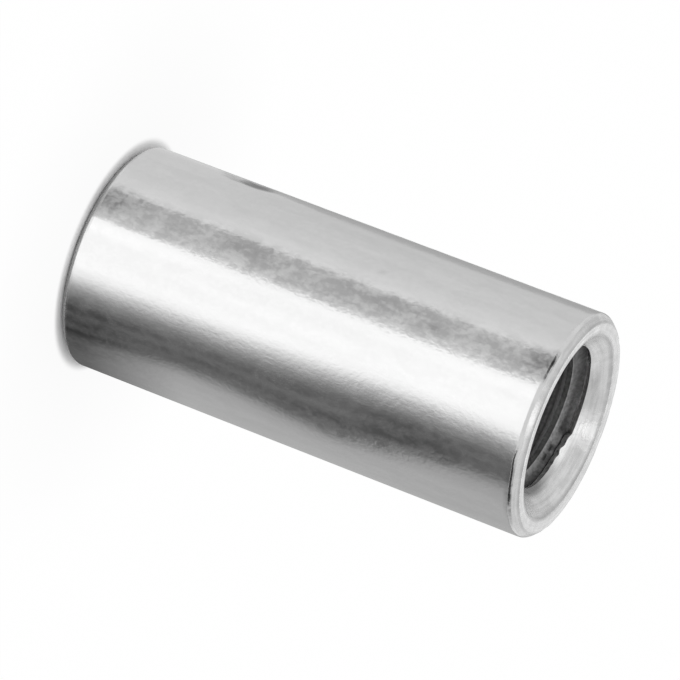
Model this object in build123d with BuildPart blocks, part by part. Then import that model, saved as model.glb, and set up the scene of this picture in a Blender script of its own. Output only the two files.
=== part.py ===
from build123d import *
from build123d.topology import SkipClean
import math
import os

os.makedirs("parts", exist_ok=True)

# Round coupling nut: a plain sleeve cut from stainless bar and tapped from end to end, which
# joins two threaded rods. Sizes are in millimetres. It stands on one end: its axis is Z, and
# the lower end face is at Z = 0.

# Tapped hole, metric coarse M8 x 1.25
THREAD_DIAMETER = 8.0
PITCH = 1.25
FLANK_ANGLE = 60.0

# Sleeve
WALL = 1.5
LENGTH = 24.0
EDGE_BREAK = 0.35

# Countersink at both ends of the hole
COUNTERSINK_MARGIN = 0.4
COUNTERSINK_ANGLE = 90.0

# How far the tap's shape reaches inside the crests, so that it cuts them cleanly open
TAP_OVERCUT = 0.12

# The seams of the turned blank, evenly round the axis
SEAMS = 4

# Thread form: a sharp 60 degree vee, cut off an eighth of its height at the roots and a
# quarter at the crests. The roots are the bottoms of the groove, in the wall.
flank_slope = math.tan(math.radians(FLANK_ANGLE / 2))
vee_height = PITCH / (2 * flank_slope)
root_radius = THREAD_DIAMETER / 2
crest_radius = root_radius - 5 / 8 * vee_height
root_flat = PITCH / 8
tap_inner_radius = crest_radius - TAP_OVERCUT
tap_inner_width = root_flat + 2 * (root_radius - tap_inner_radius) * flank_slope

# Sleeve and countersinks, round the thread
outer_radius = root_radius + WALL
mouth_radius = root_radius + COUNTERSINK_MARGIN
countersink_depth = (mouth_radius - crest_radius) / math.tan(math.radians(COUNTERSINK_ANGLE / 2))

# One turn of the thread's groove, right-handed, and where each turn starts: from a pitch
# below the lower end to past the upper one
with BuildPart() as groove_turn:
    with BuildLine():
        helix = Helix(pitch=PITCH, height=PITCH, radius=crest_radius)
    with BuildSketch(Plane.XZ):
        with BuildLine():
            Polyline(
                (tap_inner_radius, -tap_inner_width / 2),
                (root_radius, -root_flat / 2),
                (root_radius, root_flat / 2),
                (tap_inner_radius, tap_inner_width / 2),
                close=True,
            )
        make_face()
    sweep(path=helix, is_frenet=True)

turn_starts = [(0, 0, turn * PITCH) for turn in range(-1, math.ceil(LENGTH / PITCH) + 1)]

# The sleeve's section is turned about Z in equal arcs whose seams stay in the wall, so the
# crest, one strip that winds up the whole hole, is in short faces. Then the groove is cut.
with SkipClean(), BuildPart() as coupling_nut:
    for seam in range(SEAMS):
        with BuildSketch(Plane.XZ.rotated((0, 0, seam * 360 / SEAMS))):
            with BuildLine():
                Polyline(
                    (crest_radius, countersink_depth),
                    (mouth_radius, 0),
                    (outer_radius - EDGE_BREAK, 0),
                    (outer_radius, EDGE_BREAK),
                    (outer_radius, LENGTH - EDGE_BREAK),
                    (outer_radius - EDGE_BREAK, LENGTH),
                    (mouth_radius, LENGTH),
                    (crest_radius, LENGTH - countersink_depth),
                    close=True,
                )
            make_face()
        revolve(axis=Axis.Z, revolution_arc=360 / SEAMS)
    with Locations(*turn_starts):
        add(groove_turn.part, mode=Mode.SUBTRACT)

coupling_nut.part.label = "coupling_nut"
export_step(coupling_nut.part, "parts/coupling_nut.step")
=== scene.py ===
import math
import random

import bmesh
import bpy
import numpy as np
from mathutils import Matrix, Vector, noise


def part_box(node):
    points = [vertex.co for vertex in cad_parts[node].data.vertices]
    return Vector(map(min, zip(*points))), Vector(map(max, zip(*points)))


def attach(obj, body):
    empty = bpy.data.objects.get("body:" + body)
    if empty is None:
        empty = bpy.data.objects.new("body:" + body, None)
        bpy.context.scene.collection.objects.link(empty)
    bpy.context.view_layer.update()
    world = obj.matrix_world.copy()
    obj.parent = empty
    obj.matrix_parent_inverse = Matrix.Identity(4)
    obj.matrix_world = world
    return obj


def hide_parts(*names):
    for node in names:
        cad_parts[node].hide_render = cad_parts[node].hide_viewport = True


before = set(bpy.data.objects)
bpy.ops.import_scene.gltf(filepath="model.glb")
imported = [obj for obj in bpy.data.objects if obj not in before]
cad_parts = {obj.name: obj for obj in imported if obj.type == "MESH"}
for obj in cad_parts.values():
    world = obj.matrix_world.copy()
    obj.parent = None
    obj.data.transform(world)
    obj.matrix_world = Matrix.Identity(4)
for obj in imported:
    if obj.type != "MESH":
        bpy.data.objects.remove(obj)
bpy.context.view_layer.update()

# Round coupling nut of drawn stainless bar, tapped M8 from end to end. It stands on one end,
# with its axis along Z. Lengths are in millimetres until a mesh is made.
MM = 0.001
low_corner, high_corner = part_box("coupling_nut")
LENGTH = (high_corner.z - low_corner.z) / MM
OUTER_RADIUS = (high_corner.x - low_corner.x) / MM / 2

# Tapped hole
PITCH = 1.25
ROOT_RADIUS = 4.0
VEE_HEIGHT = PITCH * math.cos(math.radians(30))
CREST_RADIUS = ROOT_RADIUS - 5 / 8 * VEE_HEIGHT
FLANK_SLOPE = math.tan(math.radians(30))

# Countersink, end faces and broken edges
MOUTH_RADIUS = 4.4
SINK_DEPTH = MOUTH_RADIUS - CREST_RADIUS
EDGE_BREAK = 0.35
LAND_RADIUS = OUTER_RADIUS - EDGE_BREAK

# The countersink is plain within this height of an end: there it is wider than the thread
PLAIN_MOUTH = 0.3

# The upper countersink runs off centre towards the camera: how much wider its mouth is, at these
# degrees to either side of the sight line
WIDER_AT = (0, 30, 60, 90, 130)
WIDER_MOUTH = (0.32, 0.32, 0.22, 0.09, 0)

# A bruise on the first thread at the upper mouth: how far it has closed the groove, at these
# degrees round from the sight line, how far below the upper end it reaches, and over what height
# it fades there
BRUISE_AT = (70, 95, 158, 173.5, 177, 190, 232, 245)
BRUISE = (0, 0.90, 0.90, 0.64, 0.10, 0.20, 0.14, 0)
BRUISE_REACH = 1.6
BRUISE_FADE = 0.4

# Its ragged end: the middle, how far that reaches to either side and how long a bump is, in
# degrees, then how deep a bump is as a share of the groove, and how far the groove closes at most
RAGGED_AT = 158
RAGGED_REACH = 24
BUMP_LENGTH = 7.5
BUMP_DEPTH = 0.55
MOST_CLOSED = 0.95

# Painted shade on the flanks that face up, and so face the light, near the upper mouth: the share
# of their colour that is left, and how far below the upper end it starts and is full
MOUTH_FLANK_SHADE = 0.45
FLANK_SHADE_STARTS = 2.1
FLANK_SHADE_FULL = 1.5

# Painted highlight on the metal that the bruise has pushed into the groove, as a share of the
# steel's colour, and how far closed that is
BRUISE_HIGHLIGHT = 1.4
PUSHED_IN = 0.1

# Painted light on the upper countersink: painted shade and a painted highlight beside the hole,
# and a painted shade ring half way up, each as (degrees round from the sight line, degrees over
# which it fades, strength in its middle, where what is over 1 keeps it full for longer). Then how
# much each darkens or brightens the colour, and the radius inside which they lie, with the width
# over which they fade there
SHADE_BY_HOLE = (105, 40, 1.25)
HIGHLIGHT_BY_HOLE = (163, 14, 1.3)
SHADE_RING = (213, 18, 1.4)
SHADE_BY_HOLE_DARKENS = 0.68
HIGHLIGHT_BY_HOLE_BRIGHTENS = 0.4
SHADE_RING_DARKENS = 0.20
BESIDE_HOLE = (3.70, 0.20)
HALF_WAY_UP = (4.06, 0.08)

# Columns of the mesh round the axis, rows up the outer wall, and steps round a softened corner
COLUMNS = 240
WALL_ROWS = 108
CORNER_STEPS = 3
COLUMN_ANGLES = [2 * math.pi * column / COLUMNS for column in range(COLUMNS)]

# The angle from which an edge is kept sharp, how near to a countersink a point lies on it, and
# how near to each other two points are one
SHARP_ANGLE = 38
ON_SURFACE = 0.001
SAME_PLACE = 0.0005

# Materials of the mesh, by what made each surface
DRAWN, TURNED, TAPPED = range(3)

# Where the photograph is taken from: how far round the axis the camera stands, how high the
# sight line is above the plane of an end face, and how the nut's axis leans in the picture
SIGHT_ROUND = math.radians(258)
SIGHT_RISE = math.radians(19.7)
AXIS_LEAN = math.radians(21)


# Mesh of the nut

def thread_rows():
    """One pitch of the thread, as (offset along the axis from the groove's middle, radius, colour
    share).

    The colour share is of the bare steel's. Cutting oil has darkened the whole thread, and painted
    shade darkens the flanks that face up more than those that face down, and the crests' edges most.
    """
    root_edge = PITCH / 16
    crest_edge = PITCH * 3 / 8
    soft = 0.03
    # From the crest below the groove, up across it and on to the next crest
    stain_and_painted_light = [0.45, 0.60, 0.66, 0.66, 0.60, 0.60, 0.65, 0.75, 0.75, 0.75, 0.55, 0.66]

    def flank(offset):
        return ROOT_RADIUS - (offset - root_edge) / FLANK_SLOPE

    half = [
        (root_edge - soft, ROOT_RADIUS),
        (root_edge + soft, flank(root_edge + soft)),
        ((root_edge + crest_edge) / 2, flank((root_edge + crest_edge) / 2)),
        (crest_edge - soft, flank(crest_edge - soft)),
        (crest_edge + soft, CREST_RADIUS),
    ]
    below = [(-offset, radius) for offset, radius in reversed(half)]
    rows = below + [(0, ROOT_RADIUS)] + half + [(PITCH / 2, CREST_RADIUS)]
    return [(*row, share) for row, share in zip(rows, stain_and_painted_light)]


def cone_radius(height):
    """Radius of the countersinks at a height. They are widest at the two ends."""
    return MOUTH_RADIUS - np.minimum(height, LENGTH - height)


def degrees_behind(angle):
    """An angle round the axis in degrees round from the sight line, from 0 to 360."""
    return math.degrees(math.remainder(angle - SIGHT_ROUND, 2 * math.pi)) % 360


def off_centre(angle, radius, height):
    """How far out a point near the upper mouth moves, because the countersink is off centre."""
    aside = abs(math.degrees(math.remainder(angle - SIGHT_ROUND, 2 * math.pi)))
    up_cone = 1 - (LENGTH - height) / SINK_DEPTH
    across_land = (LAND_RADIUS - radius) / (LAND_RADIUS - MOUTH_RADIUS)
    share = np.clip(np.minimum(up_cone, across_land), 0, 1)
    return share * np.interp(aside, WIDER_AT, WIDER_MOUTH)


def thread_bruise(angle, height):
    """How far a bruise at the upper mouth has closed the first groove, from 0 to 1. It is ragged
    where it ends."""
    near_mouth = np.clip((height - LENGTH + BRUISE_REACH) / BRUISE_FADE, 0, 1)
    behind = degrees_behind(angle)
    bump = noise.noise(Vector((behind / BUMP_LENGTH, 0.3, 0)))
    ragged = BUMP_DEPTH * max(0, 1 - abs(behind - RAGGED_AT) / RAGGED_REACH) * bump
    return np.clip(np.interp(behind, BRUISE_AT, BRUISE) + ragged, 0, MOST_CLOSED) * near_mouth


def mouth_painted_light(angle, height, radius):
    """Painted light on the countersinks, as a share of the steel's colour. Only the upper one has any.
    """
    behind = degrees_behind(angle)

    def round_axis(middle, fade, strength):
        return np.clip(strength - abs(behind - middle) / fade, 0, 1)

    def inside(side, fade):
        return np.clip((side - radius) / fade, 0, 1)

    upper = height > LENGTH / 2
    by_hole = inside(*BESIDE_HOLE) * upper
    ring = inside(*HALF_WAY_UP) * round_axis(*SHADE_RING)
    beside = HIGHLIGHT_BY_HOLE_BRIGHTENS * round_axis(*HIGHLIGHT_BY_HOLE) - SHADE_BY_HOLE_DARKENS * round_axis(*SHADE_BY_HOLE)
    return 1 + by_hole * beside - SHADE_RING_DARKENS * ring * upper


def bore_grid():
    """The tapped hole's rows for every column round the axis: heights, radii, colour shares with
    stain and painted light, whether each point lies on a countersink, and whether it lies on the
    edge of one. Then how many rows one pitch has.

    The rows wind up the hole with the groove, so after one turn each row meets the one that
    started a pitch above it. Where the thread runs out in a countersink, the nearest row is
    slid to the line where the two surfaces meet, which keeps that edge sharp.
    """
    rows = thread_rows()
    turns = range(-2, math.ceil(LENGTH / PITCH) + 1)
    offset, thread, thread_stain_and_shade = np.array(rows * len(turns)).T
    start = np.repeat(turns, len(rows)) * PITCH + offset
    faces_up = (offset <= 0) & (thread > CREST_RADIUS)
    faces_down = (offset >= 0) & (thread > CREST_RADIUS)
    columns = []
    for column, angle in enumerate(COLUMN_ANGLES):
        height = start + PITCH * column / COLUMNS
        cone = cone_radius(height)
        bruised = thread_bruise(angle, height)
        cut = thread - bruised * (thread - CREST_RADIUS)
        lead = cut - cone
        radius = np.maximum(cut, cone)
        on_edge = np.zeros(len(height), bool)
        for row in np.nonzero(lead[:-1] * lead[1:] < 0)[0]:
            share = lead[row] / (lead[row] - lead[row + 1])
            moved = row if share < 0.5 else row + 1
            met = height[row] + share * (height[row + 1] - height[row])
            height[moved] = met
            radius[moved] = cone_radius(met)
            on_edge[moved] = True
        height = np.clip(height, PLAIN_MOUTH, LENGTH - PLAIN_MOUTH)
        radius = np.maximum(radius, cone_radius(height))
        plain = (height == PLAIN_MOUTH) | (height == LENGTH - PLAIN_MOUTH)
        radius[plain] = MOUTH_RADIUS - PLAIN_MOUTH
        on_cone = radius < cone_radius(height) + ON_SURFACE
        # Painted shade: the flanks that face up are darkened near the upper mouth
        flank_shade = np.interp(height, (LENGTH - FLANK_SHADE_STARTS, LENGTH - FLANK_SHADE_FULL), (1, MOUTH_FLANK_SHADE))
        stain_and_painted_light = thread_stain_and_shade * np.where(faces_up, flank_shade, 1)
        # Painted highlight on the pushed-in metal
        stain_and_painted_light = np.where((bruised > PUSHED_IN) & faces_down, BRUISE_HIGHLIGHT, stain_and_painted_light)
        # Painted shade and a painted highlight on the upper countersink
        stain_and_painted_light = np.where(on_cone, mouth_painted_light(angle, height, radius), stain_and_painted_light)
        columns.append((height, radius, stain_and_painted_light, on_cone, on_edge))
    return columns, len(rows)


def rounded(before, corner, after, setback):
    """Points that round a corner of the section, from setback before it to setback after."""
    before, corner, after = (np.array(point, float) for point in (before, corner, after))
    start = corner + (before - corner) / np.linalg.norm(before - corner) * setback
    end = corner + (after - corner) / np.linalg.norm(after - corner) * setback
    points = []
    for step in range(CORNER_STEPS + 1):
        t = step / CORNER_STEPS
        points.append((1 - t) ** 2 * start + 2 * t * (1 - t) * corner + t ** 2 * end)
    return points


def spaced(start, end, count):
    """Points between start and end, without either."""
    return [start + (end - start) * step / count for step in range(1, count)]


def outer_section():
    """Section of the nut's outside, from the plain mouth at the top to the one at the foot.

    Every point is (radius, height, surface), where surface is the material that starts there.
    Each corner but the first and last is softened over its setback, and each side between two
    corners is divided by its count.
    """
    corners = [
        (MOUTH_RADIUS - PLAIN_MOUTH, LENGTH - PLAIN_MOUTH),
        (MOUTH_RADIUS, LENGTH),
        (LAND_RADIUS, LENGTH),
        (OUTER_RADIUS, LENGTH - EDGE_BREAK),
        (OUTER_RADIUS, EDGE_BREAK),
        (LAND_RADIUS, 0),
        (MOUTH_RADIUS, 0),
        (MOUTH_RADIUS - PLAIN_MOUTH, PLAIN_MOUTH),
    ]
    setbacks = [0.06, 0.07, 0.12, 0.10, 0.05, 0.05]
    counts = [2, 6, 3, WALL_ROWS, 3, 6, 2]
    surfaces = [TURNED, TURNED, TURNED, DRAWN, TURNED, TURNED, TURNED]
    section = [(*corners[0], surfaces[0])]
    last = np.array(corners[0], float)
    for index in range(1, len(corners) - 1):
        arc = rounded(corners[index - 1], corners[index], corners[index + 1], setbacks[index - 1])
        for point in spaced(last, arc[0], counts[index - 1]):
            section.append((*point, surfaces[index - 1]))
        for point in arc:
            section.append((*point, surfaces[index]))
        last = arc[-1]
    for point in spaced(last, np.array(corners[-1], float), counts[-1]):
        section.append((*point, surfaces[-1]))
    section.append((*corners[-1], surfaces[-1]))
    return section


# The worn wall's slow waves and its quick ones: (depth, width round the nut, length up it, where
# in the noise they are taken from)
WAVES = [
    (0.007, 3.2, 11, 0),
    (0.0012, 1.1, 5, 40),
]

# Dents that the photograph shows, of which the first three make one long dent: (degrees round
# from the sight line, height, half length, half width, depth)
DENTS = [
    (-76.5, 5.85, 1.15, 0.66, 0.060),
    (-74, 5.0, 0.95, 0.42, 0.036),
    (-78.5, 4.5, 0.75, 0.34, 0.030),
    (-22, 17.8, 0.35, 0.28, 0.018),
    (-41, 14.2, 0.35, 0.28, 0.010),
    (-24, 7.2, 0.50, 0.32, 0.008),
    (-27, 13.2, 0.60, 0.30, 0.008),
    (38, 20.2, 0.55, 0.32, 0.012),
    (52, 3.6, 0.50, 0.34, 0.010),
]

# Small dents from loose handling, on the side that the photograph doesn't show: how many, how
# far they stay from the ends, and the range of each measure
LOOSE_DENTS = 18
LOOSE_DENT_FROM_END = 0.8
LOOSE_DENT_DEGREES = (82, 278)
LOOSE_DENT_LONG = (0.4, 1.5)
LOOSE_DENT_WIDE = (0.22, 0.36)
LOOSE_DENT_DEEP = (0.005, 0.014)

# The depth of a dent whose painted shade is full, and how fast shallower ones get less of it
DEEPEST_DENT = 0.060
DENT_SHADE_POWER = 1.5

# Darker patches that the photograph shows, most near the two ends. Those from 34 to 44 degrees
# paint a darker reflection into the dark band, down to its foot, and the thin one at 45 degrees
# beside the upper broken edge is painted shade; those along the rubbed strip darken the colour
# only: (degrees round from the sight line, height, half length, half width, how dark at most)
DARK_PATCHES = [
    (-26, 0.5, 2.4, 0.9, 0.42),
    (-25, 23.9, 2.0, 1.0, 0.42),
    (-26, 8.5, 2.0, 0.6, 0.12),
    (-26, 15.5, 2.6, 0.6, 0.10),
    (34, 18.4, 3.2, 1.0, 0.26),
    (44, 0.0, 4.0, 2.4, 0.30),
    (40, 15.0, 4.0, 0.5, 0.14),
    (45, 23.66, 0.17, 2.8, 0.55),
]


def dents():
    """All dents as (angle round the axis, height, half length, half width, depth)."""
    drawn = random.Random(8)
    placed = []
    for degrees, height, long, wide, deep in DENTS:
        placed.append((SIGHT_ROUND + math.radians(degrees), height, long, wide, deep))
    for _ in range(LOOSE_DENTS):
        angle = SIGHT_ROUND + math.radians(drawn.uniform(*LOOSE_DENT_DEGREES))
        height = drawn.uniform(LOOSE_DENT_FROM_END, LENGTH - LOOSE_DENT_FROM_END)
        long = drawn.uniform(*LOOSE_DENT_LONG)
        wide = drawn.uniform(*LOOSE_DENT_WIDE)
        placed.append((angle, height, long, wide, drawn.uniform(*LOOSE_DENT_DEEP)))
    return placed


def wall_wear(angle, height, placed):
    """How far the worn wall lies inside the true cylinder, in millimetres, and how much painted shade
    its dents give it.
    """
    around = Vector((math.cos(angle), math.sin(angle), 0)) * OUTER_RADIUS
    worn = 0
    for depth, width, length, start in WAVES:
        place = Vector((around.x / width + start, around.y / width, height / length))
        worn += depth * (1 - noise.noise(place))
    dent_shade = 0
    for centre, middle, long, wide, deep in placed:
        up = (height - middle) / long
        if abs(up) > 1:
            continue
        round_gap = math.remainder(angle - centre, 2 * math.pi) * OUTER_RADIUS / wide
        inside = 1 - up * up - round_gap * round_gap
        if inside > 0:
            worn += deep * inside * inside
            # Painted shade in the dent, fuller in deeper ones
            dent_shade = max(dent_shade, inside * (deep / DEEPEST_DENT) ** DENT_SHADE_POWER)
    return worn, dent_shade


# Painted shade lines where an end face meets its mouth and its broken edge: (radius, half width,
# share of the steel's colour)
PAINTED_SHADE_LINES = [
    (MOUTH_RADIUS, 0.065, 0.72),
    (LAND_RADIUS, 0.05, 0.78),
]


def end_painted_shade(radius):
    """Painted shade on the end faces and their edges at a radius, as a share of the steel's colour."""
    for middle, half_width, stain_and_painted_light in PAINTED_SHADE_LINES:
        if abs(radius - middle) < half_width:
            return stain_and_painted_light
    return 1


# Nicks in the broken edge of the upper end: (degrees round from the sight line, half length,
# depth)
NICKS = [
    (24, 0.55, 0.030),
    (-12, 0.40, 0.015),
    (-36, 0.45, 0.022),
    (56, 0.50, 0.015),
    (-63, 0.50, 0.018),
]

# How many more there are round each end, on the side that the photograph doesn't show, the range
# of each measure, how far a nick reaches from the middle of the broken edge, and how far from an
# end that can be
LOOSE_NICKS = 9
LOOSE_NICK_DEGREES = (80, 280)
LOOSE_NICK_LONG = (0.3, 0.6)
LOOSE_NICK_DEEP = (0.015, 0.035)
NICK_REACH = 0.42
NICKED_HEIGHT = 0.7


def nicks():
    """All nicks as (angle round the axis, whether it is at the top, half length, depth)."""
    drawn = random.Random(21)
    placed = [(SIGHT_ROUND + math.radians(degrees), True, long, deep) for degrees, long, deep in NICKS]
    for top in (True, False):
        for _ in range(LOOSE_NICKS):
            angle = SIGHT_ROUND + math.radians(drawn.uniform(*LOOSE_NICK_DEGREES))
            long = drawn.uniform(*LOOSE_NICK_LONG)
            placed.append((angle, top, long, drawn.uniform(*LOOSE_NICK_DEEP)))
    return placed


def nicked(angle, radius, height, placed):
    """How deep the nicks cut into a broken edge at a point, in millimetres."""
    break_middle = EDGE_BREAK / 2
    deepest = 0
    for centre, top, long, deep in placed:
        from_end = LENGTH - height if top else height
        across = math.hypot(radius - OUTER_RADIUS + break_middle, from_end - break_middle) / NICK_REACH
        along = math.remainder(angle - centre, 2 * math.pi) * OUTER_RADIUS / long
        inside = 1 - along * along - across * across
        if inside > 0:
            deepest = max(deepest, deep * inside * inside)
    return deepest


def patch_darkness(angle, height):
    """How dark the dark patches make the wall, from 0 to 1."""
    most = 0
    for degrees, middle, long, wide, dark in DARK_PATCHES:
        up = (height - middle) / long
        if abs(up) > 1:
            continue
        round_gap = math.remainder(angle - SIGHT_ROUND - math.radians(degrees), 2 * math.pi)
        inside = 1 - up * up - (round_gap * OUTER_RADIUS / wide) ** 2
        if inside > 0:
            most = max(most, dark * inside)
    return most


def bore_skin():
    """The tapped hole: its vertices in millimetres, its faces, the material of each face, and
    the stain and painted light, painted dent shade and dark patches of each vertex."""
    columns, per_turn = bore_grid()
    row_count = len(columns[0][0])
    verts = []
    for angle, (heights, radii, *_) in zip(COLUMN_ANGLES, columns):
        reaches = radii + off_centre(angle, radii, heights)
        for height, reach in zip(heights, reaches):
            verts.append((reach * math.cos(angle), reach * math.sin(angle), height))
    stain_and_painted_light, on_cone, on_edge = (np.concatenate([column[part] for column in columns])
                               for part in (2, 3, 4))

    faces = []
    for column in range(COLUMNS):
        wraps = column == COLUMNS - 1
        across = 0 if wraps else column + 1
        lift = per_turn if wraps else 0
        for row in range(row_count - 1 - lift):
            near = column * row_count + row
            far = across * row_count + row + lift
            # A face that a countersink's edge crosses is split along that edge
            if on_edge[near] and on_edge[far + 1]:
                faces += [(near, far, far + 1), (near, far + 1, near + 1)]
            elif on_edge[near + 1] and on_edge[far]:
                faces += [(near, far, near + 1), (far, far + 1, near + 1)]
            else:
                faces.append((near, far, far + 1, near + 1))
    surface = [TURNED if all(on_cone[vert] for vert in face) else TAPPED for face in faces]
    unworn = [0] * len(verts)
    return {"verts": verts, "faces": faces, "surface": surface,
            "stain_and_painted_light": list(stain_and_painted_light), "dent_shade": unworn, "darkened": unworn}


def outer_skin(first):
    """The nut's outside, given in the same way. Its vertices are numbered from first."""
    section = outer_section()
    placed_dents = dents()
    placed_nicks = nicks()
    skin = {name: [] for name in ("verts", "faces", "surface", "stain_and_painted_light", "dent_shade", "darkened")}
    for radius, height, _ in section:
        on_wall = radius > OUTER_RADIUS - 0.5 * EDGE_BREAK
        near_end = abs(height - LENGTH / 2) > LENGTH / 2 - NICKED_HEIGHT
        by_break = near_end and radius > OUTER_RADIUS - 2 * EDGE_BREAK
        for angle in COLUMN_ANGLES:
            worn, dent_shade = wall_wear(angle, height, placed_dents) if on_wall else (0, 0)
            nick = nicked(angle, radius, height, placed_nicks) if by_break else 0
            reach = radius + off_centre(angle, radius, height) - worn - nick
            drop = nick if height > LENGTH / 2 else -nick
            skin["verts"].append((reach * math.cos(angle), reach * math.sin(angle), height - drop))
            skin["stain_and_painted_light"].append(end_painted_shade(radius))
            skin["dent_shade"].append(dent_shade)
            skin["darkened"].append(patch_darkness(angle, height) if on_wall else 0)
    for ring in range(len(section) - 1):
        upper = first + ring * COLUMNS
        lower = upper + COLUMNS
        for column in range(COLUMNS):
            across = (column + 1) % COLUMNS
            skin["faces"].append((upper + column, upper + across, lower + across, lower + column))
            skin["surface"].append(section[ring][2])
    return skin


def weld(mesh):
    """Joins the points of a mesh that are in one place, and drops what that leaves over."""
    shape = bmesh.new()
    shape.from_mesh(mesh)
    bmesh.ops.remove_doubles(shape, verts=shape.verts, dist=SAME_PLACE * MM)
    bmesh.ops.dissolve_degenerate(shape, edges=shape.edges, dist=SAME_PLACE * MM)
    loose = [vert for vert in shape.verts if not vert.link_faces]
    bmesh.ops.delete(shape, geom=loose, context="VERTS")
    bmesh.ops.recalc_face_normals(shape, faces=shape.faces)
    open_edges = [edge for edge in shape.edges if not edge.is_manifold]
    print("nut mesh:", len(shape.faces), "faces,", len(open_edges), "open edges,",
          "volume", round(shape.calc_volume() / MM ** 3, 2), "cubic mm")
    shape.to_mesh(mesh)
    shape.free()


def build_nut():
    """The nut's whole surface as one closed mesh, in metres."""
    bore = bore_skin()
    outside = outer_skin(len(bore["verts"]))
    whole = {name: bore[name] + outside[name] for name in bore}
    mesh = bpy.data.meshes.new("coupling_nut_body")
    mesh.from_pydata([Vector(vert) * MM for vert in whole["verts"]], [], whole["faces"])
    mesh.polygons.foreach_set("material_index", whole["surface"])
    for name in ("dent_shade", "darkened", "stain_and_painted_light"):
        mesh.attributes.new(name, "FLOAT", "POINT").data.foreach_set("value", whole[name])
    weld(mesh)
    mesh.polygons.foreach_set("use_smooth", [True] * len(mesh.polygons))
    mesh.set_sharp_from_angle(angle=math.radians(SHARP_ANGLE))
    return mesh


# Finishes

def linear(hex_colour):
    """An sRGB hex colour as the linear colour that a shader takes."""
    parts = [int(hex_colour[start:start + 2], 16) / 255 for start in (1, 3, 5)]
    return tuple(c / 12.92 if c <= 0.04045 else ((c + 0.055) / 1.055) ** 2.4 for c in parts) + (1,)


def add(tree, kind, settings=None, inputs=None):
    """A new node with its settings, and with its inputs set to values or linked to outputs."""
    made = tree.nodes.new(kind)
    for name, value in (settings or {}).items():
        setattr(made, name, value)
    for name, value in (inputs or {}).items():
        if isinstance(value, bpy.types.NodeSocket):
            tree.links.new(value, made.inputs[name])
        else:
            made.inputs[name].default_value = value
    return made


def new_finish(name):
    """An empty material and its node tree."""
    finish = bpy.data.materials.new(name)
    finish.use_nodes = True
    finish.node_tree.nodes.clear()
    return finish, finish.node_tree


# Stainless steel, cold-drawn to bright bar: neutral light grey, bright and mirror-like, with
# fine lines along the bar and small soft patches where handling has rubbed it. They break up the
# edges of what it mirrors. Real drawing lines are a few hundredths of a millimetre apart, which
# is too fine to show, so they are drawn a tenth apart.
STEEL_COLOUR = "#CDCDCD"
LINE_WIDTH = 0.11
LINE_LENGTH = 9.0
BAND_WIDTH = 0.7
BAND_LENGTH = 12.0
PATCH_WIDTH = 0.75
PATCH_LENGTH = 1.2
GRAIN_WIDTH = 0.20
GRAIN_LENGTH = 0.27

# Strips down the wall that are rubbed more: (degrees round from the sight line, how much). Each
# is full within a few degrees to either side and gone a few further on, and the rest of the wall
# is rubbed a little.
RUBBED_STRIPS = ((-24, 1.0), (37, 0.4))
STRIP_FULL = 5
STRIP_GONE = 12
RUBBED_ELSEWHERE = 0.16

# How much a full dent darkens with painted shade as against a full dark patch, and how much
# either darkens at most
DENT_SHADE_STRENGTH = 1.15
DARKEST = -0.75


def stretched(tree, place, across, along):
    """The place counted in marks of that width round the nut and that length up it, in mm."""
    scale = (1 / (across * MM), 1 / (across * MM), 1 / (along * MM))
    return add(tree, "ShaderNodeVectorMath", {"operation": "MULTIPLY"}, {0: place, 1: scale}).outputs[0]


def rubbing(tree, place):
    """How rubbed the wall is: the more rubbed of its strips, and a little everywhere."""
    strips = []
    for degrees, most in RUBBED_STRIPS:
        strip = SIGHT_ROUND + math.radians(degrees)
        towards = add(tree, "ShaderNodeVectorMath", {"operation": "DOT_PRODUCT"},
                      {0: place, 1: (math.cos(strip), math.sin(strip), 0)})
        strips.append(add(tree, "ShaderNodeMapRange", {"interpolation_type": "SMOOTHSTEP"},
                          {"Value": towards.outputs["Value"],
                           "From Min": OUTER_RADIUS * MM * math.cos(math.radians(STRIP_GONE)),
                           "From Max": OUTER_RADIUS * MM * math.cos(math.radians(STRIP_FULL)),
                           "To Min": RUBBED_ELSEWHERE, "To Max": most}).outputs["Result"])
    return add(tree, "ShaderNodeMath", {"operation": "MAXIMUM"},
               {0: strips[0], 1: strips[1]}).outputs[0]


def shade_and_patch_darkening(tree, dent_shade, marks):
    """How much the painted shade in dents and the dark patches darken the wall, from none at 0 to
    DARKEST. The marks break them up."""
    darkened = add(tree, "ShaderNodeAttribute", {"attribute_name": "darkened"}).outputs["Fac"]
    broken_up = add(tree, "ShaderNodeMapRange", {"interpolation_type": "SMOOTHSTEP"},
                    {"Value": marks, "From Min": 0.34, "From Max": 0.62,
                     "To Min": -1.3, "To Max": -0.6})
    darkening_sum = add(tree, "ShaderNodeMath", {"operation": "MULTIPLY_ADD"},
                 {0: dent_shade, 1: DENT_SHADE_STRENGTH, 2: darkened})
    broken_darkening = add(tree, "ShaderNodeMath", {"operation": "MULTIPLY"},
                  {0: darkening_sum.outputs[0], 1: broken_up.outputs["Result"]})
    return add(tree, "ShaderNodeMath", {"operation": "MAXIMUM"},
               {0: broken_darkening.outputs[0], 1: DARKEST}).outputs[0]


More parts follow.
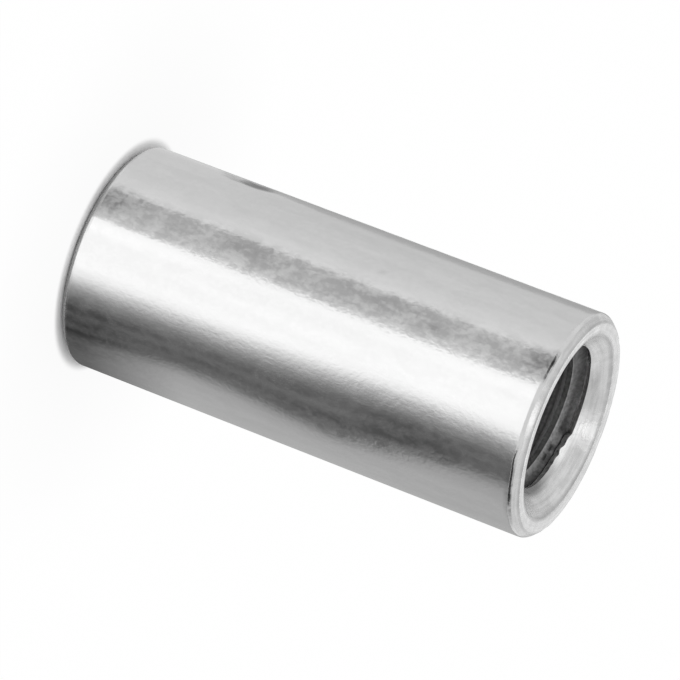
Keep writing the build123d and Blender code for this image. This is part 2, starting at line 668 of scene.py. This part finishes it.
def drawn_stainless():
    """The nut's wall, as the bar was drawn."""
    finish, tree = new_finish("bright_drawn_stainless")
    place = add(tree, "ShaderNodeTexCoord").outputs["Object"]

    # Drawing lines
    lines = add(tree, "ShaderNodeTexNoise", None,
                {"Vector": stretched(tree, place, LINE_WIDTH, LINE_LENGTH), "Scale": 1.0,
                 "Detail": 2.0, "Roughness": 0.5})
    # Broader bands, slightly lighter and darker
    bands = add(tree, "ShaderNodeTexNoise", None,
                {"Vector": stretched(tree, place, BAND_WIDTH, BAND_LENGTH), "Scale": 1.0,
                 "Detail": 1.0, "Roughness": 0.5})
    # Soft grain, and rubbed patches
    grain = add(tree, "ShaderNodeTexNoise", None,
                {"Vector": stretched(tree, place, GRAIN_WIDTH, GRAIN_LENGTH), "Scale": 1.0,
                 "Detail": 1.5, "Roughness": 0.5, "Distortion": 0.4})
    patches = add(tree, "ShaderNodeTexNoise", None,
                  {"Vector": stretched(tree, place, PATCH_WIDTH, PATCH_LENGTH), "Scale": 1.0,
                   "Detail": 1.0, "Roughness": 0.5, "Distortion": 0.8})
    marks = add(tree, "ShaderNodeMix", {"data_type": "FLOAT"},
                {0: 0.40, 2: patches.outputs["Fac"], 3: grain.outputs["Fac"]}).outputs[0]

    # Height of the surface: the lines and the grain everywhere, the marks where it is rubbed
    rubbed = rubbing(tree, place)
    mark_height = add(tree, "ShaderNodeMath", {"operation": "MULTIPLY"}, {0: marks, 1: rubbed})
    line_bump = add(tree, "ShaderNodeBump", None,
                    {"Height": lines.outputs["Fac"], "Strength": 0.6, "Distance": 0.002 * MM})
    grain_bump = add(tree, "ShaderNodeBump", None,
                     {"Height": grain.outputs["Fac"], "Strength": 1.0, "Distance": 0.005 * MM,
                      "Normal": line_bump.outputs["Normal"]})
    all_bump = add(tree, "ShaderNodeBump", None,
                   {"Height": mark_height.outputs[0], "Strength": 1.0, "Distance": 0.006 * MM,
                    "Normal": grain_bump.outputs["Normal"]})

    # Colour: darker and lighter patches, most in the rubbed strips, and painted shade in the dents
    # and the dark patches, which are partly painted reflection and shade
    patch_shade = add(tree, "ShaderNodeMapRange", {"interpolation_type": "SMOOTHSTEP"},
                      {"Value": marks, "From Min": 0.36, "From Max": 0.64,
                       "To Min": 0.86, "To Max": 1.12})
    shade = add(tree, "ShaderNodeMix", {"data_type": "FLOAT"},
                {0: rubbed, 2: 1.0, 3: patch_shade.outputs["Result"]})
    band_shade = add(tree, "ShaderNodeMapRange", None,
                     {"Value": bands.outputs["Fac"], "From Min": 0.3, "From Max": 0.7,
                      "To Min": 0.97, "To Max": 1.03})
    both = add(tree, "ShaderNodeMath", {"operation": "MULTIPLY"},
               {0: shade.outputs[0], 1: band_shade.outputs["Result"]})
    dent_shade = add(tree, "ShaderNodeAttribute", {"attribute_name": "dent_shade"}).outputs["Fac"]
    value = add(tree, "ShaderNodeMath", {"operation": "MULTIPLY_ADD"},
                {0: both.outputs[0], 1: shade_and_patch_darkening(tree, dent_shade, marks), 2: both.outputs[0]})
    colour = add(tree, "ShaderNodeVectorMath", {"operation": "SCALE"},
                 {0: linear(STEEL_COLOUR)[:3], "Scale": value.outputs[0]})

    # Shine: a little duller in some of the marks, and in dents
    mark_roughness = add(tree, "ShaderNodeMapRange", None,
                         {"Value": marks, "From Min": 0.3, "From Max": 0.7,
                          "To Min": 0.10, "To Max": 0.22})
    roughness = add(tree, "ShaderNodeMath", {"operation": "MULTIPLY_ADD"},
                    {0: dent_shade, 1: 0.2, 2: mark_roughness.outputs["Result"]})

    steel = add(tree, "ShaderNodeBsdfPrincipled", None,
                {"Base Color": colour.outputs[0], "Metallic": 1.0,
                 "Roughness": roughness.outputs[0], "Normal": all_bump.outputs["Normal"]})
    add(tree, "ShaderNodeOutputMaterial", None, {"Surface": steel.outputs["BSDF"]})
    return finish


# The same steel where a turning tool faced the ends, broke the edges and sank the mouths: a
# little duller, with fine rings round the axis that come and go, as far apart as the tool fed
# at each turn, and soft rubbed patches. A ring changes its look this often in a radian's turn.
RING_WIDTH = 0.11
RING_CHANGES = 1.6
RUBBED_PATCH = 0.55


def turned_stainless():
    """The end faces, broken edges and countersinks, as they were turned."""
    finish, tree = new_finish("turned_stainless_ends")
    place = add(tree, "ShaderNodeTexCoord").outputs["Object"]
    flat_place = add(tree, "ShaderNodeVectorMath", {"operation": "MULTIPLY"},
                     {0: place, 1: (1, 1, 0)})
    radius = add(tree, "ShaderNodeVectorMath", {"operation": "LENGTH"}, {0: flat_place.outputs[0]})
    outwards = add(tree, "ShaderNodeVectorMath", {"operation": "NORMALIZE"}, {0: flat_place.outputs[0]})
    across = add(tree, "ShaderNodeMath", {"operation": "MULTIPLY"},
                 {0: radius.outputs["Value"], 1: 1 / (RING_WIDTH * MM)})
    stack = add(tree, "ShaderNodeCombineXYZ", None, {"Z": across.outputs[0]})
    ring_place = add(tree, "ShaderNodeVectorMath", {"operation": "MULTIPLY_ADD"},
                     {0: outwards.outputs[0], 1: (RING_CHANGES, RING_CHANGES, 0),
                      2: stack.outputs[0]})
    rings = add(tree, "ShaderNodeTexNoise", None,
                {"Vector": ring_place.outputs[0], "Scale": 1.0, "Detail": 2.0, "Roughness": 0.6})
    patches = add(tree, "ShaderNodeTexNoise", None,
                  {"Vector": place, "Scale": 1 / (RUBBED_PATCH * MM), "Detail": 3.0,
                   "Roughness": 0.6})
    ring_bump = add(tree, "ShaderNodeBump", None,
                    {"Height": rings.outputs["Fac"], "Strength": 0.8, "Distance": 0.010 * MM})
    all_bump = add(tree, "ShaderNodeBump", None,
                   {"Height": patches.outputs["Fac"], "Strength": 0.8, "Distance": 0.030 * MM,
                    "Normal": ring_bump.outputs["Normal"]})
    ring_shade = add(tree, "ShaderNodeMapRange", None,
                     {"Value": rings.outputs["Fac"], "From Min": 0.3, "From Max": 0.7,
                      "To Min": 0.84, "To Max": 1.06})
    patch_shade = add(tree, "ShaderNodeMapRange", None,
                      {"Value": patches.outputs["Fac"], "From Min": 0.3, "From Max": 0.7,
                       "To Min": 0.90, "To Max": 1.08})
    shade = add(tree, "ShaderNodeMath", {"operation": "MULTIPLY"},
                {0: ring_shade.outputs["Result"], 1: patch_shade.outputs["Result"]})
    # Painted light from the mesh: painted shade lines at the edges of the end faces, and painted shade
    # and a painted highlight on the upper countersink
    stain_and_painted_light = add(tree, "ShaderNodeAttribute", {"attribute_name": "stain_and_painted_light"}).outputs["Fac"]
    value = add(tree, "ShaderNodeMath", {"operation": "MULTIPLY"}, {0: shade.outputs[0], 1: stain_and_painted_light})
    colour = add(tree, "ShaderNodeVectorMath", {"operation": "SCALE"},
                 {0: linear(STEEL_COLOUR)[:3], "Scale": value.outputs[0]})
    roughness = add(tree, "ShaderNodeMapRange", None,
                    {"Value": patches.outputs["Fac"], "From Min": 0.3, "From Max": 0.7,
                     "To Min": 0.22, "To Max": 0.32})
    steel = add(tree, "ShaderNodeBsdfPrincipled", None,
                {"Base Color": colour.outputs[0], "Metallic": 1.0,
                 "Roughness": roughness.outputs["Result"], "Normal": all_bump.outputs["Normal"]})
    add(tree, "ShaderNodeOutputMaterial", None, {"Surface": steel.outputs["BSDF"]})
    return finish


# The same steel inside the hole, cut by a tap: dull and dark with burnt cutting oil, with painted
# shade and a painted highlight on top from the mesh, and finely torn. Real tears are a few
# hundredths of a millimetre across, too fine to show, so they are drawn coarser.
TORN_SIZE = 0.17


def tapped_stainless():
    """The thread, as it was tapped."""
    finish, tree = new_finish("tapped_stainless_thread")
    place = add(tree, "ShaderNodeTexCoord").outputs["Object"]
    torn = add(tree, "ShaderNodeTexNoise", None,
               {"Vector": place, "Scale": 1 / (TORN_SIZE * MM), "Detail": 3.0, "Roughness": 0.6})
    bump = add(tree, "ShaderNodeBump", None,
               {"Height": torn.outputs["Fac"], "Strength": 0.6, "Distance": 0.010 * MM})
    torn_shade = add(tree, "ShaderNodeMapRange", None,
                     {"Value": torn.outputs["Fac"], "From Min": 0.3, "From Max": 0.7,
                      "To Min": 0.65, "To Max": 1.35})
    # Oil stain and painted light from the mesh: painted shade on the flanks that face up and on the
    # crests' edges, and a painted highlight on the bruised metal
    stain_and_painted_light = add(tree, "ShaderNodeAttribute", {"attribute_name": "stain_and_painted_light"}).outputs["Fac"]
    value = add(tree, "ShaderNodeMath", {"operation": "MULTIPLY"},
                {0: torn_shade.outputs["Result"], 1: stain_and_painted_light})
    colour = add(tree, "ShaderNodeVectorMath", {"operation": "SCALE"},
                 {0: linear(STEEL_COLOUR)[:3], "Scale": value.outputs[0]})
    steel = add(tree, "ShaderNodeBsdfPrincipled", None,
                {"Base Color": colour.outputs[0], "Metallic": 1.0, "Roughness": 0.45,
                 "Normal": bump.outputs["Normal"]})
    add(tree, "ShaderNodeOutputMaterial", None, {"Surface": steel.outputs["BSDF"]})
    return finish


nut_mesh = build_nut()
for finish in (drawn_stainless(), turned_stainless(), tapped_stainless()):
    nut_mesh.materials.append(finish)
nut = bpy.data.objects.new("coupling_nut_body", nut_mesh)
bpy.context.scene.collection.objects.link(nut)
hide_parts("coupling_nut")
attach(nut, "root")


# Table, cards, lamps and camera

# Lengths are in metres from here on, apart from OUTER_RADIUS and LENGTH.

def bearing(degrees, reach, height=0.0):
    """A point reach away from the nut's axis, that many degrees round from the sight line."""
    angle = SIGHT_ROUND + math.radians(degrees)
    return Vector((reach * math.cos(angle), reach * math.sin(angle), height))


def looked_at(tree):
    """1 where the camera or the metal looks straight at a surface, and 0 where it only lights."""
    path = add(tree, "ShaderNodeLightPath")
    looks = add(tree, "ShaderNodeMath", {"operation": "MAXIMUM"},
                {0: path.outputs["Is Camera Ray"], 1: path.outputs["Is Glossy Ray"]})
    looks = add(tree, "ShaderNodeMath", {"operation": "MAXIMUM"},
                {0: looks.outputs[0], 1: path.outputs["Is Transmission Ray"]})
    return looks.outputs[0]


# White table top: a wide disc of matt painted board under the nut, which mirrors nothing. Away
# from the nut it is seen as plain white, and close to it more and more of it takes the nut's
# shadow. The white comes in two parts: (where it starts and where it is full, in radii of the
# nut from its axis, and its share)
TABLE_RADIUS = 1.3
TABLE_COLOUR = "#F6F6F6"
WHITE_PARTS = ((1.0, 1.08, 0.90), (1.1, 3, 0.09))

table_mesh = bpy.data.meshes.new("white_table")
disc = bmesh.new()
bmesh.ops.create_circle(disc, cap_ends=True, segments=128, radius=TABLE_RADIUS)
disc.to_mesh(table_mesh)
disc.free()
white_table = bpy.data.objects.new("white_table", table_mesh)
bpy.context.scene.collection.objects.link(white_table)
white_top, tree = new_finish("matt_white_table")
from_axis = add(tree, "ShaderNodeVectorMath", {"operation": "LENGTH"},
                {0: add(tree, "ShaderNodeTexCoord").outputs["Object"]})
parts = [add(tree, "ShaderNodeMapRange", {"interpolation_type": "SMOOTHSTEP"},
             {"Value": from_axis.outputs["Value"], "From Min": starts * OUTER_RADIUS * MM,
              "From Max": full * OUTER_RADIUS * MM, "To Min": 0.0, "To Max": most})
         for starts, full, most in WHITE_PARTS]
white_share = add(tree, "ShaderNodeMath", {"operation": "ADD"},
                  {0: parts[0].outputs["Result"], 1: parts[1].outputs["Result"]})
share = add(tree, "ShaderNodeMath", {"operation": "MULTIPLY"},
            {0: white_share.outputs[0], 1: looked_at(tree)})
matt = add(tree, "ShaderNodeBsdfDiffuse", None, {"Color": linear(TABLE_COLOUR)})
plain = add(tree, "ShaderNodeEmission", None, {"Color": (1, 1, 1, 1), "Strength": 1.0})
top = add(tree, "ShaderNodeMixShader", None,
          {0: share.outputs[0], 1: matt.outputs[0], 2: plain.outputs[0]})
add(tree, "ShaderNodeOutputMaterial", None, {"Surface": top.outputs[0]})
table_mesh.materials.append(white_top)

# Room: an even white that lights the nut plainly, and is seen as white
room = bpy.data.worlds.new("white_room")
bpy.context.scene.world = room
room.use_nodes = True
room.node_tree.nodes.clear()
tree = room.node_tree
light = add(tree, "ShaderNodeBackground", None, {"Color": (1, 1, 1, 1), "Strength": 0.8})
seen = add(tree, "ShaderNodeBackground", None, {"Color": (1, 1, 1, 1), "Strength": 1.0})
walls = add(tree, "ShaderNodeMixShader", None,
            {0: looked_at(tree), 1: light.outputs[0], 2: seen.outputs[0]})
add(tree, "ShaderNodeOutputWorld", None, {"Surface": walls.outputs[0]})

# Graded cards on the table round the nut, which only the metal sees. Each runs out along the
# directions in which the upright wall mirrors, so it makes one even band up the whole nut. How
# far they reach, how far they lie above the table, at how many radii of the nut they start, and
# in how many steps they are divided
CARD_REACH = 0.4
CARD_LIFT = 0.00002
CARD_START = 1.002
CARD_STEPS = 24

# Shares of the nut's height at which a card is dimmed at its foot, and no longer dimmed
DIM_FROM = 0.03
DIM_TO = 0.25


def between(side, share):
    """Where a card's side lies at a share of the way up the nut."""
    return float(np.interp(share, np.linspace(0, 1, len(side)), side))


def make_card(name, verts, rows, glow, dimming=(1,)):
    """A card that only the metal sees, in columns of so many rows. Its brightness is given
    across it in equal steps, and its dimming row by row."""
    faces = [(a, a + 1, a + 1 + rows, a + rows)
             for step in range(CARD_STEPS) for a in range(step * rows, step * rows + rows - 1)]
    mesh = bpy.data.meshes.new(name)
    mesh.from_pydata(verts, [], faces)
    shares = np.linspace(0, len(glow) - 1, CARD_STEPS + 1)
    strengths = np.outer(np.interp(shares, range(len(glow)), glow), np.ones(rows) * dimming)
    mesh.attributes.new("glow", "FLOAT", "POINT").data.foreach_set("value", strengths.ravel())
    card = bpy.data.objects.new(name, mesh)
    bpy.context.scene.collection.objects.link(card)
    paper, tree = new_finish(name + "_paper")
    strength = add(tree, "ShaderNodeAttribute", {"attribute_name": "glow"}).outputs["Fac"]
    light = add(tree, "ShaderNodeEmission", None, {"Strength": strength})
    add(tree, "ShaderNodeOutputMaterial", None, {"Surface": light.outputs[0]})
    mesh.materials.append(paper)
    card.visible_camera = False
    card.visible_diffuse = False
    card.visible_shadow = False
    card.visible_transmission = False


def lay_card(name, start, end, glow, foot=1.0):
    """A card on the table that fills a band of the wall.

    Its two sides are given as where the band's edge lies on the wall, in degrees round from
    the sight line: once, or at equal steps from the foot of the nut to its top. The card is
    dimmed to foot where the wall meets the table, and not at all from DIM_TO up.
    """
    verts = []
    for step in range(CARD_STEPS + 1):
        for rise in range(CARD_STEPS + 1):
            low, high = (between(side, rise / CARD_STEPS) for side in (start, end))
            degrees = low + (high - low) * step / CARD_STEPS
            base = bearing(degrees, OUTER_RADIUS * MM * CARD_START, CARD_LIFT)
            reach = rise / CARD_STEPS * LENGTH * MM / math.tan(SIGHT_RISE)
            verts.append(base + bearing(2 * degrees, 1.0) * reach)
        verts.append(base + bearing(2 * degrees, 1.0) * CARD_REACH)
    dimming = np.interp(np.arange(CARD_STEPS + 2) / CARD_STEPS, (DIM_FROM, DIM_TO), (foot, 1.0))
    make_card(name, verts, CARD_STEPS + 2, glow, dimming)


def stand_card(name, start, end, rise, glow):
    """A card that stands round the nut, from start to end in degrees round from the sight line,
    and up to the rise in degrees above the nut's top."""
    verts = []
    for step in range(CARD_STEPS + 1):
        degrees = start + (end - start) * step / CARD_STEPS
        for height in (LENGTH * MM, LENGTH * MM + CARD_REACH * math.tan(math.radians(rise))):
            verts.append(bearing(degrees, CARD_REACH, height))
    make_card(name, verts, 2, glow)


# Where the bands' sides lie, in degrees round from the sight line, every three millimetres up
EDGE_LOWER = (-84, -83, -76, -72, -71, -71, -71, -71, -71)
BRIGHT_LOWER = (12, 12, 12, 12, 11, 10, 8, 8, 9)
DARK_UPPER = (33, 31, 30, 30, 29, 28, 26, 26, 26)
DARK_LOWER = (48, 45, 41, 42, 45, 48, 43, 37, 35)
GREY_UPPER = [side + 9 for side in DARK_LOWER]

lay_card("upper_edge_card", [-85], EDGE_LOWER, (0.40, 0.62))
lay_card("upper_card", EDGE_LOWER, [-31], (0.80, 0.84, 0.88, 0.92, 0.98, 1.08))
lay_card("streak_card", [-31], [-13.5], (0.70, 0.73, 0.68, 0.72, 0.70, 0.78, 0.84, 0.94))
lay_card("bright_card", [-13.5], BRIGHT_LOWER, (1.56, 1.58))
lay_card("fading_card", BRIGHT_LOWER, DARK_UPPER, (1.56, 1.40, 0.98, 0.62, 0.40, 0.28, 0.20))
lay_card("dark_card", DARK_UPPER, DARK_LOWER, (0.20, 0.15, 0.26, 0.17, 0.15, 0.22, 0.16), 0.75)
lay_card("grey_fading_card", DARK_LOWER, GREY_UPPER, (0.16, 0.32, 0.46, 0.55), 0.35)
lay_card("lower_card", GREY_UPPER, [89], (0.57, 0.62, 0.60, 0.54, 0.46), 0.25)

# Standing flags: two of the bands go on up past the nut's top, where its edge mirrors them, and
# the third dims a side of the mouth
stand_card("streak_side_flag", -64, -36, 38, (0.12, 0.12))
stand_card("dark_side_flag", 40, 98, 30, (0.12, 0.10))
stand_card("mouth_side_flag", -164, -116, 34, (0.95, 0.86, 0.82, 0.85, 0.95))


def hang_soft_box(name, degrees, rise, distance, size, radiance):
    """A square lamp that faces the nut, with the brightness that its face shows."""
    lamp = bpy.data.lights.new(name, "AREA")
    lamp.shape = "SQUARE"
    lamp.size = size
    lamp.energy = radiance * math.pi * size * size
    box = bpy.data.objects.new(name, lamp)
    bpy.context.scene.collection.objects.link(box)
    up = math.radians(rise)
    box.location = bearing(degrees, distance * math.cos(up), distance * math.sin(up))
    aim = Vector((0, 0, LENGTH / 2 * MM)) - box.location
    box.rotation_mode = "QUATERNION"
    box.rotation_quaternion = aim.to_track_quat("-Z", "Y")
    box.visible_camera = False


hang_soft_box("overhead_soft_box", 8, 70, 0.35, 0.09, 0.95)
hang_soft_box("rear_soft_box", 180, 44, 0.35, 0.10, 1.6)

# Camera, as many diameters from the nut as in the photograph, with its sensor and lens in
# millimetres. It looks down the sight line and is turned till the upright nut lies as it does
# there.
DIAMETERS_AWAY = 22
SENSOR_WIDTH = 36
LENS = 275

camera_data = bpy.data.cameras.new("photo_camera")
camera_data.sensor_width = SENSOR_WIDTH
camera_data.lens = LENS
camera = bpy.data.objects.new("photo_camera", camera_data)
bpy.context.scene.collection.objects.link(camera)
bpy.context.scene.camera = camera
distance = DIAMETERS_AWAY * 2 * OUTER_RADIUS * MM
middle = Vector((0, 0, LENGTH / 2 * MM))
back = bearing(0, math.cos(SIGHT_RISE), math.sin(SIGHT_RISE))
level_right = bearing(90, 1.0)
level_up = back.cross(level_right)
turn = math.pi / 2 + AXIS_LEAN
right = math.cos(turn) * level_right + math.sin(turn) * level_up
up = math.cos(turn) * level_up - math.sin(turn) * level_right
axes = Matrix((right, up, back)).transposed()
camera.matrix_world = Matrix.Translation(middle + back * distance) @ axes.to_4x4()
camera_data.clip_start = 0.01
camera_data.clip_end = 10

bpy.context.scene.view_settings.view_transform = "Standard"
